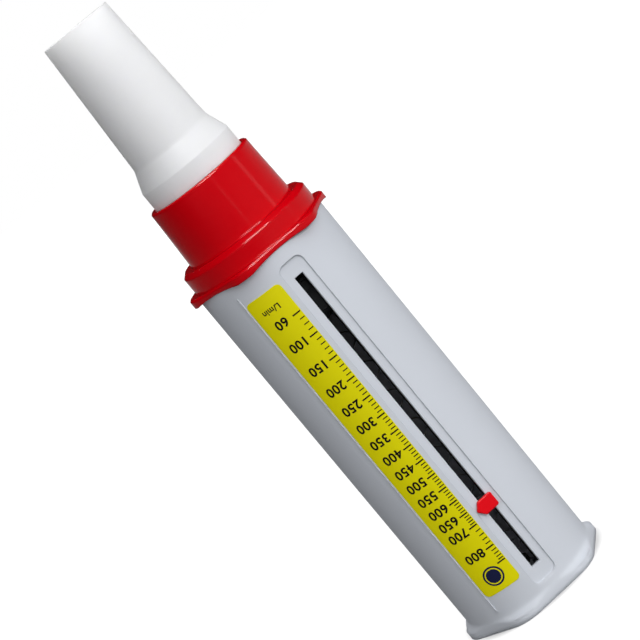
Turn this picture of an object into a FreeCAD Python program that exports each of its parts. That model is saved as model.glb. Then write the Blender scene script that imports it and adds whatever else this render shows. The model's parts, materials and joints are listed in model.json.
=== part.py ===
import FreeCAD, Part
import math
import os
import re
import Sketcher

# A hand-held peak flow meter that stands on its base flange, mouth end up.
# Z runs along the meter, Z = 0 is the underside of the base flange, the front with the
# pointer's slot faces -Y and the scale lies left of the slot, on the -X side.
# Inside, a light piston slides on a guide rod against a long coil spring. Breath pushes the
# piston down from the inlet, its pusher carries the pointer along, and the pointer stays put.

os.makedirs("parts", exist_ok=True)
doc = FreeCAD.newDocument("peak_flow_meter")

# Driving sizes in millimetres, degrees where the name ends in _deg, counts where it ends in _count.
SIZES = [
    ("body_radius", 21.7, "outer radius of the round body"),
    ("body_wall", 1.9, "wall of the body"),
    ("body_top", 124.9, "upper end of the body, inside the inlet cap"),
    ("flange_margin", 0.3, "flats of the base flange beyond the body"),
    ("flange_corner", 9.0, "rounding of the flange corners in plan"),
    ("flange_thick", 2.1, "thickness of the base flange at its corners"),
    ("flange_blend", 1.5, "flare from the base flange up to the body"),
    ("slot_low", 10.8, "lower end of the pointer's slot"),
    ("slot_drop", 9.3, "upper end of the slot below the body's upper end"),
    ("slot_width", 2.9, "width of the pointer's slot"),
    ("recess_margin", 4.9, "recess beyond each end of the slot"),
    ("recess_width", 8.0, "width of the recess round the slot"),
    ("recess_corner", 2.3, "corner radius of the recess"),
    ("recess_depth", 0.8, "depth of the recess below the crown of the body"),
    ("label_deg", 14.9, "right-hand edge of the label, angle left of the front"),
    ("label_sweep_deg", 31.5, "angle that the label covers"),
    ("label_lift", 0.2, "lower edge of the label above the slot's lower end"),
    ("label_over", 2.2, "upper edge of the label above the slot's upper end"),
    ("label_thick", 0.12, "thickness of the label"),
    ("label_corner", 1.5, "corner radius of the label"),
    ("film_gap", 0.01, "gap between the label and the body"),
    ("ridge_gap_deg", 1.8, "angle between the label and the moulded ridge beside it"),
    ("ridge_wide", 0.4, "width of the ridge"),
    ("ridge_high", 0.3, "height of the ridge above the body"),
    ("plug_gap", 0.05, "radial clearance of plugs and spigots"),
    ("plug_inset", 0.3, "base plug's lower face above the underside"),
    ("plug_plate", 2.0, "plate of the base plug"),
    ("plug_ring", 5.7, "height of the base plug's ring above its plate"),
    ("plug_wall", 1.55, "wall of the base plug's ring"),
    ("boss_wall", 2.3, "wall of the boss that holds the guide rod"),
    ("boss_rise", 4.1, "height of that boss above the plate"),
    ("vent_count", 10, "exhaust slits in the base plug"),
    ("vent_wide", 2.4, "width of an exhaust slit"),
    ("vent_start", 4.6, "slits begin this far outside the boss"),
    ("vent_margin", 1.2, "slits end this far inside the plug's ring"),
    ("cap_margin", 0.15, "flats of the inlet flange beyond those of the base flange"),
    ("cap_skirt", 0.9, "inlet flange below the body's upper end, at its ears"),
    ("cap_arch", 0.85, "rise of the underside between two ears"),
    ("cap_arch_half", 9.8, "half the length of that rise along a flat"),
    ("cap_flange_thick", 2.5, "thickness of the inlet flange at its ears"),
    ("cap_flange_edge", 0.45, "bevel of the inlet flange"),
    ("band_inset", 0.45, "band of the inlet cap inside the body's outer radius"),
    ("band_high", 6.4, "height of the band above the flange"),
    ("band_edge", 1.3, "bevel of the band's upper edge"),
    ("tube_wall", 1.79, "wall of the inlet tube at its rim"),
    ("tube_draft", 0.7, "growth of the tube's radius down to its foot"),
    ("tube_high", 18.6, "rim of the inlet tube above the band"),
    ("rim_edge", 0.45, "bevel of the rim"),
    ("socket_deep", 21.9, "depth of the mouthpiece's socket"),
    ("throat_step", 1.86, "shoulder that stops the mouthpiece"),
    ("throat_web", 2.0, "thickness of the web under that shoulder"),
    ("spigot_long", 8.0, "length of the cap's spigot inside the body"),
    ("spigot_wall", 2.4, "wall of the spigot"),
    ("mouth_radius", 15.0, "outer radius of the mouthpiece in its socket"),
    ("mouth_gap", 0.06, "radial clearance of the mouthpiece in its socket"),
    ("shoulder_rise", 5.7, "where the mouthpiece starts to narrow, above the tube's rim"),
    ("shoulder_long", 6.4, "length of the narrowing"),
    ("waist_step", 2.35, "loss of radius along the narrowing"),
    ("taper_long", 40.3, "length of the mouthpiece's taper"),
    ("taper_step", 1.9, "loss of radius along the taper"),
    ("mouth_wall", 1.25, "wall of the mouthpiece"),
    ("waist_round", 3.0, "rounding where the narrowing meets the taper"),
    ("rod_radius", 1.5, "guide rod"),
    ("rod_over", 1.4, "guide rod above the spider's hub"),
    ("fit_gap", 0.03, "gap of parts that are pressed or clamped together"),
    ("slide_gap", 0.06, "radial running clearance on the rod"),
    ("spider_lift", 0.8, "underside of the spider above the spigot's lower end"),
    ("spider_high", 3.0, "height of the spider's rim and arms"),
    ("spider_rim", 1.7, "radial width of the spider's rim"),
    ("spider_arm", 2.0, "width of a spider arm"),
    ("arm_count", 3, "arms of the spider"),
    ("window_start", 7.2, "inner corners of the spider's windows from the axis"),
    ("clip_thick", 0.6, "thickness of the clip on the rod"),
    ("clip_reach", 1.7, "clip beyond the rod"),
    ("clip_bite", 0.3, "depth of the clip's groove in the rod"),
    ("piston_gap", 0.3, "radial clearance between piston and bore"),
    ("piston_drop", 3.3, "piston's crown below the spigot at rest"),
    ("crown_thick", 1.5, "crown of the piston"),
    ("skirt_long", 10.6, "length of the piston"),
    ("skirt_wall", 1.2, "wall of the piston's skirt"),
    ("hub_long", 7.9, "length of the piston's hub below the crown"),
    ("sleeve_wall", 1.9, "wall of the piston's hub"),
    ("rib_count", 6, "ribs under the crown"),
    ("rib_wide", 0.9, "width of a rib"),
    ("rib_deep", 3.2, "depth of a rib"),
    ("bush_wall", 1.14, "wall of the piston's bush"),
    ("rail_half", 5.0, "outer side of the pointer's rails from the middle"),
    ("rail_wall", 1.5, "side wall of a rail"),
    ("rail_lip", 1.1, "thickness of the lip behind the pointer's saddle"),
    ("rail_gap", 1.6, "inner edge of a lip from the middle"),
    ("rail_margin", 0.6, "gap between a rail and the plug or spigot beyond its end"),
    ("seat_gap", 0.03, "gap between the rails and the bore"),
    ("notch_gap", 0.35, "clearance of the piston's notch round the rails"),
    ("pusher_side_gap", 0.5, "clearance between the piston's pusher and the lips"),
    ("pusher_high", 2.8, "height of the pusher"),
    ("pusher_drop", 0.55, "top of the pusher below the piston's crown"),
    ("pusher_reach_gap", 0.3, "pusher's tip behind the pointer's saddle"),
    ("saddle_high", 4.6, "height of the pointer's saddle"),
    ("saddle_thick", 1.2, "thickness of the saddle"),
    ("saddle_corner", 0.6, "corner radius of the saddle"),
    ("saddle_gap", 0.3, "clearance between the saddle and its rails"),
    ("wall_gap", 0.6, "saddle behind the crown of the bore"),
    ("pad_thick", 0.3, "friction pad on the saddle"),
    ("pad_inset", 0.4, "pad inside the saddle's outline"),
    ("pointer_rest", 33.2, "height of the pointer's centre as photographed"),
    ("pointer_high", 4.5, "height of the pointer"),
    ("tip_gap", 0.15, "tip of the pointer short of the recess's left side"),
    ("pointer_neck", 2.0, "where the point starts, left of the middle"),
    ("pointer_tail", 2.65, "right-hand end of the pointer"),
    ("pointer_corner", 0.6, "corner radius of the pointer in plan"),
    ("pointer_thick", 0.9, "thickness of the pointer's plate"),
    ("pointer_lift", 0.25, "gap between the plate and the recess floor"),
    ("pointer_edge", 0.25, "bevel of the pointer's face"),
    ("stem_high", 3.2, "height of the pointer's stem"),
    ("stem_gap", 0.3, "clearance of the stem on each side of the slot"),
    ("spring_radius", 5.7, "mean radius of the spring"),
    ("wire_half", 0.22, "half the thickness of the spring's wire"),
    ("spring_gap", 0.05, "gap at each end of the spring"),
    ("turn_count", 12, "turns of the spring"),
    ("step_count", 10, "straight steps in a turn"),
    ("cup_thick", 0.8, "thickness of the spring's cup"),
    ("cup_rim", 0.8, "height and width of the cup's rim"),
    ("spring_clear", 0.5, "piston's ribs outside the spring"),
    ("buffer_gap", 0.3, "piston's hub short of its buffer at rest"),
    ("buffer_wall", 2.2, "wall of the buffers round the rod"),
    ("end_buffer_high", 1.8, "height of the lower buffer"),
    ("screw_head", 1.9, "radius of the rod screw's head"),
    ("screw_head_high", 1.0, "height of the rod screw's head"),
    ("screw_radius", 0.8, "radius of the rod screw's shank"),
    ("screw_long", 3.4, "shank of the screw inside the rod"),
    ("screw_spare", 0.5, "hole in the rod beyond the screw"),
    ("drive_wide", 0.5, "slot in the screw's head"),
]

sheet = doc.addObject("Spreadsheet::Sheet", "Sizes")
for row, (alias, value, note) in enumerate(SIZES, start=1):
    sheet.set(f"A{row}", alias)
    sheet.set(f"B{row}", str(value))
    sheet.setAlias(f"B{row}", alias)
    sheet.set(f"C{row}", note)
doc.recompute()
size = {alias: float(getattr(sheet, alias)) for alias, value, note in SIZES}
desk = doc.addObject("Spreadsheet::Sheet", "Desk")

# Places and sizes that follow from the sheet and that several pieces share.
FOLLOWS = {
    "bore_radius": "body_radius - body_wall",
    "flange_flat": "body_radius + flange_margin",
    "slot_high": "body_top - slot_drop",
    "recess_floor": "body_radius - recess_depth",
    "recess_low": "slot_low - recess_margin",
    "recess_high": "slot_high + recess_margin",
    "spigot_radius": "bore_radius - plug_gap",
    "spigot_low": "body_top - spigot_long",
    "spigot_bore": "spigot_radius - spigot_wall",
    "plate_top": "plug_inset + plug_plate",
    "plug_high": "plate_top + plug_ring",
    "boss_radius": "rod_radius + boss_wall",
    "boss_high": "plate_top + boss_rise",
    "cap_flat": "flange_flat + cap_margin",
    "cap_low": "body_top - cap_skirt",
    "cap_flange_top": "cap_low + cap_flange_thick",
    "band_radius": "body_radius - band_inset",
    "band_top": "cap_flange_top + band_high",
    "socket_radius": "mouth_radius + mouth_gap",
    "tube_rim_radius": "socket_radius + tube_wall",
    "tube_foot_radius": "tube_rim_radius + tube_draft",
    "tube_top": "band_top + tube_high",
    "socket_low": "tube_top - socket_deep",
    "shoulder_low": "tube_top + shoulder_rise",
    "waist_low": "shoulder_low + shoulder_long",
    "waist_radius": "mouth_radius - waist_step",
    "mouth_top": "waist_low + taper_long",
    "lip_radius": "waist_radius - taper_step",
    "spider_low": "spigot_low + spider_lift",
    "spider_top": "spider_low + spider_high",
    "rod_high": "spider_top + rod_over",
    "piston_top": "spigot_low - piston_drop",
    "piston_radius": "bore_radius - piston_gap",
    "crown_low": "piston_top - crown_thick",
    "skirt_low": "piston_top - skirt_long",
    "hub_drop": "crown_low - hub_long",
    "bush_radius": "rod_radius + slide_gap + bush_wall",
    "piston_hub": "bush_radius + sleeve_wall",
    "saddle_half": "rail_half - rail_wall - saddle_gap",
    "saddle_front": "bore_radius - wall_gap",
    "saddle_back": "saddle_front - saddle_thick",
    "lip_front": "saddle_back - saddle_gap",
    "lip_back": "lip_front - rail_lip",
    "notch_back": "lip_back - notch_gap",
    "notch_half": "rail_half + notch_gap",
    "stem_half": "slot_width / 2 - stem_gap",
    "pointer_under": "recess_floor + pointer_lift",
    "cup_top": "plate_top + cup_thick",
    "buffer_radius": "rod_radius + slide_gap + buffer_wall",
}


def bound(text):
    """Expression for the model: what follows is written out, and sizes are named by their place."""
    def place(word):
        if word[0] in FOLLOWS:
            return f"({bound(FOLLOWS[word[0]])})"
        return f"Sizes.{word[0]}" if word[0] in size else word[0]
    return re.sub(r"[a-z][a-z_]*", place, text)


def bind(item, **places):
    """Bind properties of an object; a double underscore in a name stands for a dot."""
    for name, text in places.items():
        item.setExpression(name.replace("__", "."), bound(text))
    return item


def origin_plane(body, role):
    return next(plane for plane in body.Origin.OriginFeatures if plane.Role == role)


def new_body(label):
    body = doc.addObject("PartDesign::Body", label)
    body.Label = label
    return body


def new_sketch(body, name, role, lift=None):
    """Empty sketch on one of the body's own origin planes, lifted along the plane's normal."""
    sketch = body.newObject("Sketcher::SketchObject", name)
    sketch.AttachmentSupport = [(origin_plane(body, role), "")]
    sketch.MapMode = "FlatFace"
    if lift:
        bind(sketch, AttachmentOffset__Base__z=lift)
    return sketch


def number(text):
    """Present value of an expression, worked out in a cell of a sheet that nothing else reads."""
    desk.set("A1", f"={bound(text)}")
    desk.recompute()
    return float(desk.get("A1"))


def outline(sketch, corners, arcs=None):
    """Closed outline, each corner held by two sizes from the sketch's origin.

    Sides are straight, apart from those in arcs, which maps a side's number to the radius of
    the arc that takes its place; such an arc turns to the left.
    """
    arcs = arcs or {}
    count = len(corners)
    points = [FreeCAD.Vector(number(across), number(up), 0) for across, up in corners]
    for i in range(count):
        start, end = points[i], points[(i + 1) % count]
        side = Part.LineSegment(start, end)
        if i in arcs:
            chord = end - start
            rise = math.sqrt(number(arcs[i]) ** 2 - (chord.Length / 2) ** 2)
            centre = (start + end) / 2 + FreeCAD.Vector(-chord.y, chord.x, 0) * (rise / chord.Length)
            whole = Part.Circle(centre, FreeCAD.Vector(0, 0, 1), number(arcs[i]))
            side = Part.ArcOfCircle(whole, whole.parameter(start), whole.parameter(end))
        sketch.addGeometry(side, False)
    for i in range(count):
        sketch.addConstraint(Sketcher.Constraint("Coincident", i, 2, (i + 1) % count, 1))
    for i, (across, up) in enumerate(corners):
        hold(sketch, "DistanceX", i, across)
        hold(sketch, "DistanceY", i, up)
    for i, radius in arcs.items():
        held = sketch.addConstraint(Sketcher.Constraint("Radius", i, number(radius)))
        sketch.setExpression(f"Constraints[{held}]", bound(radius))
    return sketch


def hold(sketch, kind, side, text):
    """Distance of a side's first point from the sketch's origin, bound to the sheet."""
    held = sketch.addConstraint(Sketcher.Constraint(kind, -1, 1, side, 1, number(text)))
    sketch.setExpression(f"Constraints[{held}]", bound(text))


def circle(sketch, radius):
    """Circle about the sketch's origin."""
    sketch.addGeometry(Part.Circle(FreeCAD.Vector(0, 0, 0), FreeCAD.Vector(0, 0, 1), 5), False)
    last = sketch.GeometryCount - 1
    sketch.addConstraint(Sketcher.Constraint("Coincident", last, 3, -1, 1))
    held = sketch.addConstraint(Sketcher.Constraint("Radius", last, 5.0))
    sketch.setExpression(f"Constraints[{held}]", bound(radius))
    return sketch


def hexagon(sketch, flat):
    """Regular hexagon with a corner on each side of the sketch's X axis, given centre to flat."""
    reach = f"2 * {flat} / sqrt(3)"
    corners = [(f"{reach} * cos({60 * i} deg)", f"{reach} * sin({60 * i} deg)") for i in range(6)]
    return outline(sketch, corners)


def rectangle(sketch, left, right, low, high):
    return outline(sketch, [(left, low), (right, low), (right, high), (left, high)])


def feature(body, kind, name, sketch, **places):
    """Sketch-based feature whose bound properties come from the sheet."""
    item = body.newObject(f"PartDesign::{kind}", name)
    item.Profile = sketch
    sketch.Visibility = False
    bind(item, **places)
    return item


def revolve(body, kind, name, sketch):
    """Full turn of a sketch about the meter's axis, added or cut."""
    item = feature(body, kind, name, sketch)
    item.ReferenceAxis = (sketch, ["V_Axis"])
    item.Angle = 360.0
    return item


def edges_where(item, test):
    """Names of the edges of a finished feature for which the test holds."""
    return [f"Edge{i + 1}" for i, edge in enumerate(item.Shape.Edges) if test(edge)]


def dress(body, kind, name, base, test, radius):
    """Fillet or chamfer on the edges that pass the test."""
    doc.recompute()
    item = body.newObject(f"PartDesign::{kind}", name)
    item.Base = (base, edges_where(base, test))
    bind(item, **{"Radius" if kind == "Fillet" else "Size": radius})
    return item


def polar(body, name, original, count):
    """The feature repeated round the meter's axis."""
    item = body.newObject("PartDesign::PolarPattern", name)
    item.Originals = [original]
    item.Axis = (next(axis for axis in body.Origin.OriginFeatures if axis.Role == "Z_Axis"), [""])
    item.Angle = 360.0
    bind(item, Occurrences=count)
    body.Tip = item
    return item


def middle(edge):
    return edge.valueAt((edge.FirstParameter + edge.LastParameter) / 2)


def upright(edge):
    """True for a straight edge along Z."""
    ends = [vertex.Point for vertex in edge.Vertexes]
    return len(ends) == 2 and math.hypot(ends[0].x - ends[1].x, ends[0].y - ends[1].y) < 1e-6


def ring_at(height, radius):
    """Test for round edges about the meter's axis at a height and radius."""
    level, reach = number(height), number(radius)

    def test(edge):
        if not isinstance(edge.Curve, Part.Circle):
            return False
        here = edge.Curve.Center
        on_axis = math.hypot(here.x, here.y) < 1e-4
        return on_axis and abs(here.z - level) < 1e-4 and abs(edge.Curve.Radius - reach) < 1e-4
    return test


def cylinder(name, radius, height, low):
    item = doc.addObject("Part::Cylinder", name)
    return bind(item, Radius=radius, Height=height, Placement__Base__z=low)


def box(name, left, right, front, back, low, high):
    """Box between six planes; front and back are Y values."""
    item = doc.addObject("Part::Box", name)
    bind(item, Length=f"({right}) - ({left})", Width=f"({back}) - ({front})", Height=f"({high}) - ({low})")
    return bind(item, Placement__Base__x=left, Placement__Base__y=front, Placement__Base__z=low)


def cut(name, base, *tools):
    """Base less every tool, one after the other."""
    for i, tool in enumerate(tools):
        item = doc.addObject("Part::Cut", name if i + 1 == len(tools) else f"{name}_step_{i + 1}")
        item.Base = base
        item.Tool = tool
        base = item
    return base


def fuse(name, *pieces):
    item = doc.addObject("Part::MultiFuse", name)
    item.Shapes = list(pieces)
    return item


def common(name, *pieces):
    item = doc.addObject("Part::MultiCommon", name)
    item.Shapes = list(pieces)
    return item


def node(item, label):
    """Mark the finished object of a sub-part."""
    item.Label = label
    nodes.append(item)
    return item


nodes = []


def body_shell():
    """Round body with its flared hexagonal flange, the recessed slot and the ridge by the label."""
    body = new_body("body_shell")
    tube = circle(new_sketch(body, "shell_round", "XY_Plane"), "body_radius")
    feature(body, "Pad", "shell_tube", tube, Length="body_top")
    plan = hexagon(new_sketch(body, "shell_plan", "XY_Plane"), "flange_flat")
    flange = feature(body, "Pad", "shell_flange", plan, Length="flange_thick + flange_blend")
    dress(body, "Fillet", "shell_corners", flange, corner_of("flange_flat"), "flange_corner")
    blend = new_sketch(body, "shell_blend", "XZ_Plane")
    head = "(flange_thick + flange_blend)"
    outline(blend, [("body_radius", head), ("body_radius + flange_blend", "flange_thick"),
                    ("2 * body_radius", "flange_thick"), ("2 * body_radius", f"2 * {head}"),
                    ("body_radius", f"2 * {head}")])
    revolve(body, "Groove", "shell_hollow", blend)
    bore = circle(new_sketch(body, "shell_bore", "XY_Plane"), "bore_radius")
    inside = feature(body, "Pocket", "shell_inside", bore, Length="body_top")
    inside.Reversed = True
    window = new_sketch(body, "shell_recess", "XZ_Plane", "recess_floor")
    rectangle(window, "-recess_width / 2", "recess_width / 2", "recess_low", "recess_high")
    recess = feature(body, "Pocket", "shell_recess_cut", window, Length="2 * recess_depth")
    recess.Reversed = True

    def recess_corner(edge):
        ends = [vertex.Point for vertex in edge.Vertexes]
        if len(ends) != 2 or abs(ends[0].x - ends[1].x) + abs(ends[0].z - ends[1].z) > 1e-6:
            return False
        return abs(abs(ends[0].x) - size["recess_width"] / 2) < 1e-6 and ends[0].y < 0

    dress(body, "Fillet", "shell_recess_corners", recess, recess_corner, "recess_corner")
    opening = new_sketch(body, "shell_slot", "XZ_Plane", "bore_radius / 2")
    rectangle(opening, "-slot_width / 2", "slot_width / 2", "slot_low", "slot_high")
    slot = feature(body, "Pocket", "shell_slot_cut", opening, Length="body_radius")
    slot.Reversed = True
    rib = sector_sketch(body, "shell_ridge", "-90 deg - (label_deg + label_sweep_deg + ridge_gap_deg) * 1 deg")
    rectangle(rib, "(bore_radius + body_radius) / 2", "body_radius + ridge_high", "recess_low", "recess_high")
    ridge = feature(body, "Revolution", "shell_ridge_bar", rib,
                    Angle="ridge_wide / body_radius * 1 rad")
    ridge.ReferenceAxis = (rib, ["V_Axis"])
    return node(body, "body_shell")


def corner_of(flat):
    """Test for the upright edges at the corners of a hexagon, given its centre-to-flat size."""
    reach = 2 * number(flat) / math.sqrt(3)

    def test(edge):
        here = middle(edge)
        return upright(edge) and abs(math.hypot(here.x, here.y) - reach) < 1e-3
    return test


def sector_sketch(body, name, start):
    """Sketch on a plane through the meter's axis, turned from +X by an angle."""
    sketch = new_sketch(body, name, "XZ_Plane")
    sketch.AttachmentOffset = FreeCAD.Placement(FreeCAD.Vector(), FreeCAD.Rotation(FreeCAD.Vector(0, 1, 0), 1))
    return bind(sketch, AttachmentOffset__Rotation__Angle=start)


def scale_label():
    """Thin film wrapped on the body left of the slot, with rounded corners."""
    body = new_body("scale_label")
    section = sector_sketch(body, "label_section", "-90 deg - (label_deg + label_sweep_deg) * 1 deg")
    rectangle(section, "body_radius + film_gap", "body_radius + film_gap + label_thick",
              "slot_low + label_lift", "slot_high + label_over")
    film = feature(body, "Revolution", "label_film", section, Angle="label_sweep_deg * 1 deg")
    film.ReferenceAxis = (section, ["V_Axis"])

    def film_corner(edge):
        ends = [vertex.Point for vertex in edge.Vertexes]
        return len(ends) == 2 and abs((ends[0] - ends[1]).Length - size["label_thick"]) < 1e-6

    dress(body, "Fillet", "label_corners", film, film_corner, "label_corner")
    return node(body, "scale_label")


def base_cap():
    """Plug pressed into the foot of the body, with exhaust slits and the rod's boss."""
    body = new_body("base_cap")
    section = new_sketch(body, "plug_section", "XZ_Plane")
    wall = "spigot_radius - plug_wall"
    outline(section, [("screw_radius + fit_gap", "plug_inset"), ("spigot_radius", "plug_inset"),
                      ("spigot_radius", "plug_high"), (wall, "plug_high"), (wall, "plate_top"),
                      ("boss_radius", "plate_top"), ("boss_radius", "boss_high"),
                      ("rod_radius + fit_gap", "boss_high"), ("rod_radius + fit_gap", "plate_top"),
                      ("screw_radius + fit_gap", "plate_top")])
    revolve(body, "Revolution", "plug_turned", section)
    head = circle(new_sketch(body, "plug_screw_seat", "XY_Plane"), "screw_head + 2 * fit_gap")
    sink = feature(body, "Pocket", "plug_counterbore", head, Length="plug_inset + screw_head_high + fit_gap")
    sink.Reversed = True
    slit = new_sketch(body, "plug_slit", "XY_Plane")
    rectangle(slit, "boss_radius + vent_start", f"{wall} - vent_margin", "-vent_wide / 2", "vent_wide / 2")
    vent = feature(body, "Pocket", "plug_vent", slit, Length="plate_top")
    vent.Reversed = True
    polar(body, "plug_vents", vent, "vent_count")
    return node(body, "base_cap")


def inlet_cap():
    """Arched hexagonal flange, rounded band and tapered tube over the socket, throat and spigot."""
    body = new_body("inlet_cap")
    plan = hexagon(new_sketch(body, "cap_plan", "XY_Plane", "cap_low"), "cap_flat")
    flange = feature(body, "Pad", "cap_flange", plan, Length="cap_flange_thick")
    dress(body, "Fillet", "cap_corners", flange, corner_of("cap_flat"), "flange_corner")
    turned = new_sketch(body, "cap_section", "XZ_Plane")
    root = "(cap_low + cap_flange_top) / 2"
    outline(turned, [("0", "spigot_low"), ("spigot_radius", "spigot_low"), ("spigot_radius", root),
                     ("band_radius", root), ("band_radius", "band_top"), ("tube_foot_radius", "band_top"),
                     ("tube_rim_radius", "tube_top"), ("0", "tube_top")])
    revolve(body, "Revolution", "cap_turned", turned)
    hollow = new_sketch(body, "cap_hollow", "XZ_Plane")
    throat = "socket_radius - throat_step"
    outline(hollow, [("0", "spigot_low - 1"), ("spigot_bore", "spigot_low - 1"),
                     ("spigot_bore", "socket_low - throat_web"), (throat, "socket_low - throat_web"),
                     (throat, "socket_low"), ("socket_radius", "socket_low"), ("socket_radius", "tube_top + 1"),
                     ("0", "tube_top + 1")])
    revolve(body, "Groove", "cap_inside", hollow)
    seat = new_sketch(body, "cap_seat", "XZ_Plane")
    rectangle(seat, "spigot_radius", "body_radius + plug_gap", "cap_low - 1", "body_top + fit_gap")
    revolve(body, "Groove", "cap_body_seat", seat)
    arch = new_sketch(body, "cap_arch_line", "XZ_Plane", "bore_radius")
    curve = "(cap_arch_half ^ 2 + cap_arch ^ 2) / (2 * cap_arch)"
    outline(arch, [("cap_arch_half", "cap_low - cap_arch"), ("cap_arch_half", "cap_low"),
                   ("-cap_arch_half", "cap_low"), ("-cap_arch_half", "cap_low - cap_arch")],
            {1: curve})
    scoop = feature(body, "Pocket", "cap_arch_cut", arch, Length="body_radius")
    scoop.Reversed = True
    arches = polar(body, "cap_arches", scoop, "6")
    brim = number("cap_flange_top")
    reach = number("band_radius") + size["fit_gap"]

    def top_of_flange(edge):
        here = middle(edge)
        return abs(here.z - brim) < 1e-4 and math.hypot(here.x, here.y) > reach

    bevelled = dress(body, "Chamfer", "cap_flange_ease", arches, top_of_flange, "cap_flange_edge")
    rounded = dress(body, "Chamfer", "cap_band_ease", bevelled, ring_at("band_top", "band_radius"), "band_edge")
    dress(body, "Chamfer", "cap_rim_ease", rounded, ring_at("tube_top", "tube_rim_radius"), "rim_edge")
    return node(body, "inlet_cap")


def mouthpiece():
    """Thin-walled mouthpiece: a socket end, a crisp shoulder, a soft waist and a long open taper."""
    body = new_body("mouthpiece")
    section = new_sketch(body, "mouth_section", "XZ_Plane")
    outer = [("mouth_radius", "socket_low + mouth_gap"), ("mouth_radius", "shoulder_low"),
             ("waist_radius", "waist_low"), ("lip_radius", "mouth_top")]
    inner = [(f"{across} - mouth_wall", up) for across, up in reversed(outer)]
    outline(section, outer + inner)
    turned = revolve(body, "Revolution", "mouth_turned", section)
    dress(body, "Fillet", "mouth_waist", turned, ring_at("waist_low", "waist_radius"), "waist_round")
    return node(body, "mouthpiece")


def guide_rod():
    """Steel rod with a clip groove near its top and a screw hole in its foot."""
    body = new_body("guide_rod")
    section = new_sketch(body, "rod_section", "XZ_Plane")
    waist = "rod_radius - clip_bite"
    clip_high = "spider_top + clip_thick + 2 * fit_gap"
    hole_top = "plate_top + screw_long + screw_spare"
    outline(section, [("screw_radius + fit_gap", "plate_top"), ("rod_radius", "plate_top"),
                      ("rod_radius", "spider_top"), (waist, "spider_top"), (waist, clip_high),
                      ("rod_radius", clip_high), ("rod_radius", "rod_high"), ("0", "rod_high"),
                      ("0", hole_top), ("screw_radius + fit_gap", hole_top)])
    revolve(body, "Revolution", "rod_turned", section)
    return node(body, "guide_rod")


def rod_clip():
    """Open retaining clip in the rod's groove, on top of the spider's hub."""
    low = "spider_top + fit_gap"
    neck = "(rod_radius - clip_bite + fit_gap)"
    disc = cylinder("clip_disc", "rod_radius + clip_reach", "clip_thick", low)
    bite = cylinder("clip_bore", neck, "3 * clip_thick", f"{low} - clip_thick")
    mouth = box("clip_mouth", f"-{neck}", neck, "0", "2 * (rod_radius + clip_reach)", f"{low} - clip_thick",
                f"{low} + 2 * clip_thick")
    return node(cut("rod_clip_cut", disc, bite, mouth), "rod_clip")


def rod_screw():
    """Slotted screw that holds the rod's foot to the base plug."""
    head_top = "(plug_inset + screw_head_high)"
    head = cylinder("screw_head_disc", "screw_head", "screw_head_high", "plug_inset")
    shank = cylinder("screw_shank", "screw_radius", f"plate_top + screw_long - {head_top}", head_top)
    drive = box("screw_drive", "-2 * screw_head", "2 * screw_head", "-drive_wide / 2", "drive_wide / 2",
                "plug_inset - drive_wide", "plug_inset + drive_wide")
    return node(cut("rod_screw_cut", fuse("screw_blank", head, shank), drive), "rod_screw")


def rod_spider():
    """Ring, arms and hub that centre the rod's upper end in the cap's spigot."""
    body = new_body("rod_spider")
    section = new_sketch(body, "spider_section", "XZ_Plane")
    outside = "spigot_bore - plug_gap"
    rectangle(section, "rod_radius + fit_gap", outside, "spider_low", "spider_top")
    revolve(body, "Revolution", "spider_turned", section)
    far = f"({outside} - spider_rim)"
    near_turn = "(180 deg / arm_count - asin(spider_arm / 2 / window_start))"
    far_turn = f"(180 deg / arm_count - asin(spider_arm / 2 / {far}))"
    window = new_sketch(body, "spider_window", "XY_Plane")
    outline(window, [(f"window_start * cos({near_turn})", f"-window_start * sin({near_turn})"),
                     (f"{far} * cos({far_turn})", f"-{far} * sin({far_turn})"),
                     (f"{far} * cos({far_turn})", f"{far} * sin({far_turn})"),
                     (f"window_start * cos({near_turn})", f"window_start * sin({near_turn})")],
            {1: far})
    hole = feature(body, "Pocket", "spider_hole", window, Length="spider_top")
    hole.Reversed = True
    polar(body, "spider_holes", hole, "arm_count")
    return node(body, "rod_spider")


def rail(side):
    """One of the two L-shaped rails behind the slot; its lip keeps the pointer's saddle in."""
    name = "left" if side < 0 else "right"
    low = "plug_high + rail_margin"
    high = "spigot_low - rail_margin"
    if side < 0:
        wall_left, wall_right, lip_left, lip_right = "-rail_half", "-rail_half + rail_wall", "-rail_half", "-rail_gap"
    else:
        wall_left, wall_right, lip_left, lip_right = "rail_half - rail_wall", "rail_half", "rail_gap", "rail_half"
    wall = box(f"rail_wall_{name}", wall_left, wall_right, "-bore_radius", "-lip_back", low, high)
    lip = box(f"rail_lip_{name}", lip_left, lip_right, "-lip_front", "-lip_back", low, high)
    inside = cylinder(f"rail_bore_{name}", "bore_radius - seat_gap", high, low)
    return node(common(f"rail_shape_{name}", fuse(f"rail_blank_{name}", wall, lip), inside), f"rail_{name}")


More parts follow.
